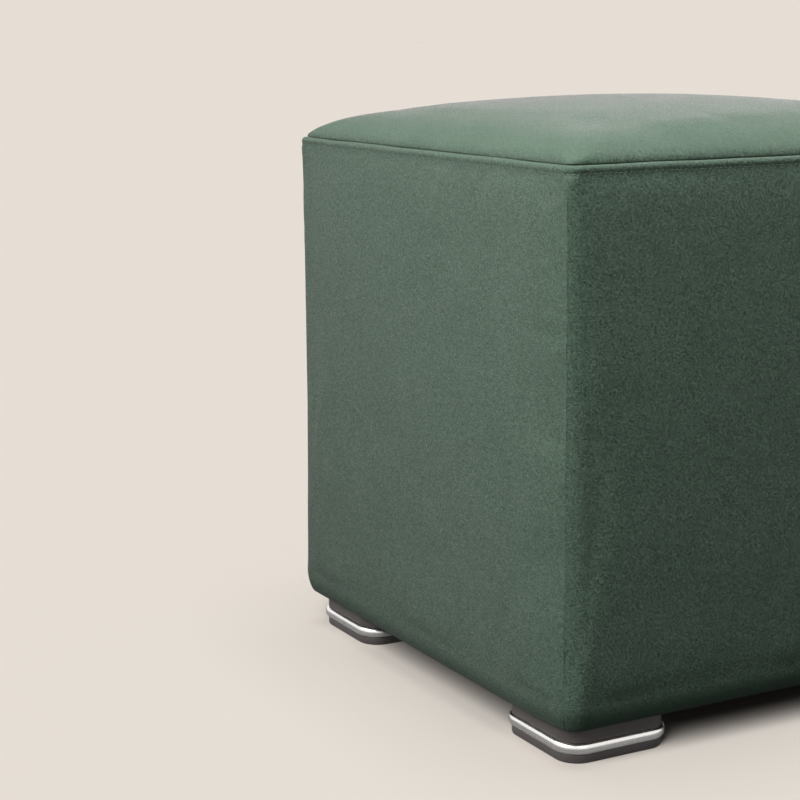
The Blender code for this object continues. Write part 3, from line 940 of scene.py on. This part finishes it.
FOOT_CORNER_RADIUS = 0.017
FOOT_EDGE_RADIUS = 0.0012    # softened edges at the floor and under the cover
CHANNEL_DEPTH = 0.0015       # for the bright band
CHANNEL_EDGE = 0.0003        # broken edge of the channel
FOOT_CORNER_STEPS = 14
SHARP_ANGLE = math.radians(50)   # edges that turn by more than this stay crisp
FOOT_PLACES = {
    "front_left": (-1, -1),
    "front_right": (1, -1),
    "back_right": (1, 1),
    "back_left": (-1, 1),
}


def foot_ring(growth, height):
    """A ring of points round a foot, grown outwards by growth."""
    radius = FOOT_CORNER_RADIUS + growth
    centre = foot_half - FOOT_CORNER_RADIUS
    ring = []
    for quarter in range(4):
        for step in range(FOOT_CORNER_STEPS + 1):
            angle = math.pi / 2 * (quarter + step / FOOT_CORNER_STEPS)
            corner = math.pi / 2 * quarter + math.pi / 4
            ring.append((
                math.copysign(centre, math.cos(corner)) + radius * math.cos(angle),
                math.copysign(centre, math.sin(corner)) + radius * math.sin(angle),
                height,
            ))
    return ring


def quarter_turn(radius, steps):
    """Offsets over a rounded edge, from its side to its end, as (drawn in, towards the end)."""
    turns = [math.pi / 2 * step / steps for step in range(steps + 1)]
    return [(radius * (1 - math.cos(turn)), radius * math.sin(turn)) for turn in turns]


def block_outline():
    """The outline of a foot from the floor up, as (growth, height)."""
    edge = quarter_turn(FOOT_EDGE_RADIUS, 4)
    broken = quarter_turn(CHANNEL_EDGE, 2)
    outline = [(-inward, foot_low.z + FOOT_EDGE_RADIUS - end) for inward, end in reversed(edge)]
    outline += [(-inward, channel_low - CHANNEL_EDGE + end) for inward, end in broken]
    outline += [(-CHANNEL_DEPTH, channel_low), (-CHANNEL_DEPTH, channel_high)]
    outline += [(-inward, channel_high + CHANNEL_EDGE - end) for inward, end in reversed(broken)]
    outline += [(-inward, foot_high.z - FOOT_EDGE_RADIUS + end) for inward, end in edge]
    return outline


def make_block(corner, side_x, side_y):
    """One foot block in its place."""
    rings = [foot_ring(growth, height) for growth, height in block_outline()]
    points = np.array(rings) + np.array([side_x * foot_reach, side_y * foot_reach, 0.0])
    block = mesh_object(f"foot_block_{corner}", points, closed_faces(*points.shape[:2]), plastic)
    block.data.set_sharp_from_angle(angle=SHARP_ANGLE)
    return block


foot_blocks = {corner: make_block(corner, *place) for corner, place in FOOT_PLACES.items()}
foot_mm = [round(1000 * length, 1) for length in (2 * foot_half, foot_high.z)]
print(len(foot_blocks), "feet,", foot_mm[0], "mm square,", foot_mm[1], "mm high")

# %% [markdown]
# ## The bright bands
#
# A bright band is one section, flat behind and evenly round in front, carried round the foot. That is
# a path and a profile, so Geometry Nodes sweep it: a rectangle with filleted corners is the path, and
# a short curve of points is the section.

# %% Sweep a section round a foot
BRIGHT_PROUD = bright_high.x - foot_high.x       # how far the band stands out from the foot
PROFILE_STEPS = 14


def profile_points():
    """The band's section, as (out from the side of the foot, height above its middle)."""
    reach = (bright_high.z - bright_low.z) / 2
    back = FIT_GAP - CHANNEL_DEPTH
    points = [(back, -reach)]
    for step in range(PROFILE_STEPS + 1):
        angle = math.pi * (step / PROFILE_STEPS - 0.5)
        points.append((BRIGHT_PROUD * math.cos(angle), reach * math.sin(angle)))
    points.append((back, reach))
    return points


def sweeping_tree():
    """A Geometry Nodes tree that carries a closed profile round a square with round corners."""
    tree = bpy.data.node_groups.new("sweep_round_square", "GeometryNodeTree")
    tree.is_modifier = True
    face = tree.interface
    face.new_socket("Geometry", in_out="INPUT", socket_type="NodeSocketGeometry")
    for name in ("Side", "Corner Radius"):
        face.new_socket(name, in_out="INPUT", socket_type="NodeSocketFloat")
    face.new_socket("Corner Steps", in_out="INPUT", socket_type="NodeSocketInt")
    face.new_socket("Place", in_out="INPUT", socket_type="NodeSocketVector")
    face.new_socket("Finish", in_out="INPUT", socket_type="NodeSocketMaterial")
    face.new_socket("Geometry", in_out="OUTPUT", socket_type="NodeSocketGeometry")
    given = add_node(tree, "NodeGroupInput").outputs
    square = add_node(tree, "GeometryNodeCurvePrimitiveQuadrilateral", {
        "Width": given["Side"], "Height": given["Side"],
    })
    fillet = add_node(tree, "GeometryNodeFilletCurve", {
        "Curve": square.outputs["Curve"], "Count": given["Corner Steps"],
        "Radius": given["Corner Radius"],
    }, mode="POLY")
    upright = add_node(tree, "GeometryNodeSetCurveNormal", {"Curve": fillet.outputs["Curve"]}, mode="Z_UP")
    section = add_node(tree, "GeometryNodeMeshToCurve", {"Mesh": given["Geometry"]})
    swept = add_node(tree, "GeometryNodeCurveToMesh", {
        "Curve": upright.outputs["Curve"], "Profile Curve": section.outputs["Curve"],
    })
    placed = add_node(tree, "GeometryNodeSetPosition", {
        "Geometry": swept.outputs["Mesh"], "Offset": given["Place"],
    })
    smooth = add_node(tree, "GeometryNodeSetShadeSmooth", {"Geometry": placed.outputs["Geometry"]})
    real = add_node(tree, "GeometryNodeRealizeInstances", {"Geometry": smooth.outputs["Geometry"]})
    finished = add_node(tree, "GeometryNodeSetMaterial", {
        "Geometry": real.outputs["Geometry"], "Material": given["Finish"],
    })
    add_node(tree, "NodeGroupOutput", {"Geometry": finished.outputs["Geometry"]})
    return tree


sweep = sweeping_tree()
foot_bands = {}
for corner, (side_x, side_y) in FOOT_PLACES.items():
    section = path_object("section", [(out, height, 0.0) for out, height in profile_points()])
    foot_bands[corner] = run_tree(section, sweep, f"foot_band_{corner}", {
        "Side": 2 * foot_half, "Corner Radius": FOOT_CORNER_RADIUS, "Corner Steps": FOOT_CORNER_STEPS,
        "Place": (side_x * foot_reach, side_y * foot_reach, (bright_low.z + bright_high.z) / 2),
        "Finish": chrome,
    })
    foot_bands[corner].data.set_sharp_from_angle(angle=SHARP_ANGLE)
print(len(foot_bands), "bright bands,", len(foot_bands["front_left"].data.polygons), "faces each")

# %% [markdown]
# ## The underside
#
# The board with its lining cloth has its right shape already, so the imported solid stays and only
# gets the cloth's finish.

# %% Dress the underside
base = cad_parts["base_panel"]
base.data.materials.clear()
base.data.materials.append(lining)
print(base.name, "dressed in", lining.name)

# %% [markdown]
# ## The parts ride together
#
# Nothing on the stool moves on its own, so every finer piece rides on the one body, and the solids
# that they stand for are hidden.

for side, panel in side_panels.items():
    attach(panel, "root")
    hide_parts(f"panel_{side}")
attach(seat, "root")
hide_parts("seat_top")
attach(stitching, "root")
for corner in FOOT_PLACES:
    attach(foot_blocks[corner], "root")
    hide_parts(f"foot_{corner}")
    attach(foot_bands[corner], "root")
    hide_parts(f"foot_trim_{corner}")

# %% [markdown]
# ## The background and the floor
#
# The stool stands on a pale matt floor that runs into a background of the same tone, with no horizon.
# A curved backdrop would do that, but then the far floor gets less light than the near one. So the
# floor is flat and very wide, its lamps are far away and light it evenly, and its paint is mixed so
# that under them it is as bright as the background. One lamp from the left and one from above let a
# short soft shadow fall round the stool.
#
# In a studio, black and white cards decide how much light comes back to the cloth and what the bright
# bands mirror. Light Path nodes do that here. The floor and the sky have one brightness for the
# camera, a second one in mirror reflections and a third, much lower one for all other light.

# %% Sky, floor and the lamps of the floor
BACKGROUND = "#e6ded5"
SKY_STRENGTH = 0.08          # light from all round, against 1 for a white sheet in full light
MIRRORED_SKY = 1.2           # the same as the plating and the plastic mirror it
FLOOR_GLOW = 0.07            # how light the floor's paint is for the light that falls back on the stool
MIRRORED_FLOOR = 0.35        # and as the plating mirrors it
FLOOR_RADIUS = 60.0
FLOOR_EDGES = 96             # of its outline, which is round
FLOOR_LAMPS = {              # turn from -X towards +Y, height, width seen from the floor, strength
    "floor_left": (-30, 40, 40, 1.07),
    "floor_top": (0, 90, 40, 0.31),
}


def far_lamp(name, turn, height, width, strength):
    """A lamp so far away that it lights everything evenly. Angles are in degrees."""
    data = bpy.data.lights.new(name, "SUN")
    data.energy = math.pi * strength
    data.angle = math.radians(width)
    made = new_object(name, data)
    turn, height = math.radians(turn), math.radians(height)
    towards = Vector((
        -math.cos(turn) * math.cos(height),
        math.sin(turn) * math.cos(height),
        math.sin(height),
    ))
    made.rotation_mode = "QUATERNION"
    made.rotation_quaternion = towards.to_track_quat("Z", "Y")
    return made


def shine_only_on(lamp, name, pieces):
    """Flag a lamp off everything but some pieces."""
    group = bpy.data.collections.new(name)
    for piece in pieces:
        group.objects.link(piece)
    lamp.light_linking.receiver_collection = group


floor_light = SKY_STRENGTH
for turn, height, width, strength in FLOOR_LAMPS.values():
    floor_light += strength * math.sin(math.radians(height))
floor_paint = [value / floor_light for value in linear(BACKGROUND)[:3]]
floor_finish, tree = new_material("matt_floor_paint")
ray = add_node(tree, "ShaderNodeLightPath").outputs
returned = add_node(tree, "ShaderNodeMix", {
    "Factor": ray["Is Glossy Ray"],
    "A": (FLOOR_GLOW,) * 3 + (1.0,),
    "B": (MIRRORED_FLOOR,) * 3 + (1.0,),
}, data_type="RGBA")
paint = add_node(tree, "ShaderNodeMix", {
    "Factor": ray["Is Camera Ray"], "A": returned.outputs["Result"], "B": (*floor_paint, 1.0),
}, data_type="RGBA")
surface = add_node(tree, "ShaderNodeBsdfPrincipled", {
    "Base Color": paint.outputs["Result"], "Roughness": 1.0, "Specular IOR Level": 0.0,
})
add_node(tree, "ShaderNodeOutputMaterial", {"Surface": surface.outputs["BSDF"]})
rim = [math.tau * step / FLOOR_EDGES for step in range(FLOOR_EDGES)]
floor_points = [(FLOOR_RADIUS * math.cos(angle), FLOOR_RADIUS * math.sin(angle), 0.0) for angle in rim]
floor = mesh_object("floor", floor_points, [range(FLOOR_EDGES)], floor_finish)
floor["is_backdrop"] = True
for name, values in FLOOR_LAMPS.items():
    shine_only_on(far_lamp(name, *values), name + "_pieces", [floor])

world = bpy.data.worlds.new("pale_sky")
bpy.context.scene.world = world
world.use_nodes = True
world.node_tree.nodes.clear()
seen = add_node(world.node_tree, "ShaderNodeBackground", {"Color": linear(BACKGROUND), "Strength": 1.0})
ray = add_node(world.node_tree, "ShaderNodeLightPath").outputs
level = add_node(world.node_tree, "ShaderNodeMapRange", {
    "Value": ray["Is Glossy Ray"], "To Min": SKY_STRENGTH, "To Max": MIRRORED_SKY,
})
sky = add_node(world.node_tree, "ShaderNodeBackground", {
    "Color": (1.0, 1.0, 1.0, 1.0), "Strength": level.outputs["Result"],
})
both = add_node(world.node_tree, "ShaderNodeMixShader", {
    0: ray["Is Camera Ray"], 1: sky.outputs[0], 2: seen.outputs[0],
})
add_node(world.node_tree, "ShaderNodeOutputWorld", {"Surface": both.outputs[0]})
bpy.context.scene.view_settings.view_transform = "Standard"
paint_seen = [round(value, 3) for value in floor_paint]
print("a white sheet on the floor would shine", round(floor_light, 2), "and the paint is", paint_seen)

# %% [markdown]
# ## The lamps of the stool
#
# The stool has its own softboxes, flagged off the floor as a photographer would do with cards. The
# main one hangs above its near left edge: it lights the seat, and its light runs down the sides and
# fades. Weaker ones stand on the left, in front and on the right, and give each side its tone. The
# last one, low behind, is flagged to the seat alone and brings out the pale sheen where the velour is
# seen nearly edge-on. It is far stronger than the others, so from behind the seat looks much paler
# than it is. It and the one above have pale pink gels, which keep the light parts of the seat greyer
# than the green of the cloth, as they are in the photo.

# %% Lamps of the stool
SOFTBOXES = {                # place, width, watts, colour of the gel
    "softbox_top": ((-0.6, -0.45, 1.8), 0.5, 52.5, "#fff4fb"),
    "softbox_left": ((-1.2, -0.4, 0.7), 0.6, 8.5, "#ffffff"),
    "softbox_side": ((-0.9, 0.3, 0.8), 0.6, 3.2, "#ffffff"),
    "softbox_front": ((-0.3, -1.2, 0.6), 0.6, 1.0, "#ffffff"),
    "softbox_right": ((0.6, -0.2, 0.9), 0.5, 6.8, "#ffffff"),
    "softbox_back": ((1.2, 1.0, 0.7), 0.8, 172.0, "#ffd4f2"),
}
SOFTBOX_AIM = Vector((0.0, 0.0, 0.2))


def softbox(name, place, width, watts, gel):
    """A round softbox that points at the stool."""
    data = bpy.data.lights.new(name, "AREA")
    data.shape = "DISK"
    data.size = width
    data.energy = watts
    data.color = linear(gel)[:3]
    made = new_object(name, data)
    made.location = place
    made.rotation_mode = "QUATERNION"
    made.rotation_quaternion = (Vector(place) - SOFTBOX_AIM).to_track_quat("Z", "Y")
    made.visible_camera = False
    return made


stool_lamps = [softbox(name, *values) for name, values in SOFTBOXES.items()]
stool_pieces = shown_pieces()
for lamp in stool_lamps:
    lit = [seat] if lamp.name == "softbox_back" else stool_pieces
    shine_only_on(lamp, lamp.name + "_pieces", lit)
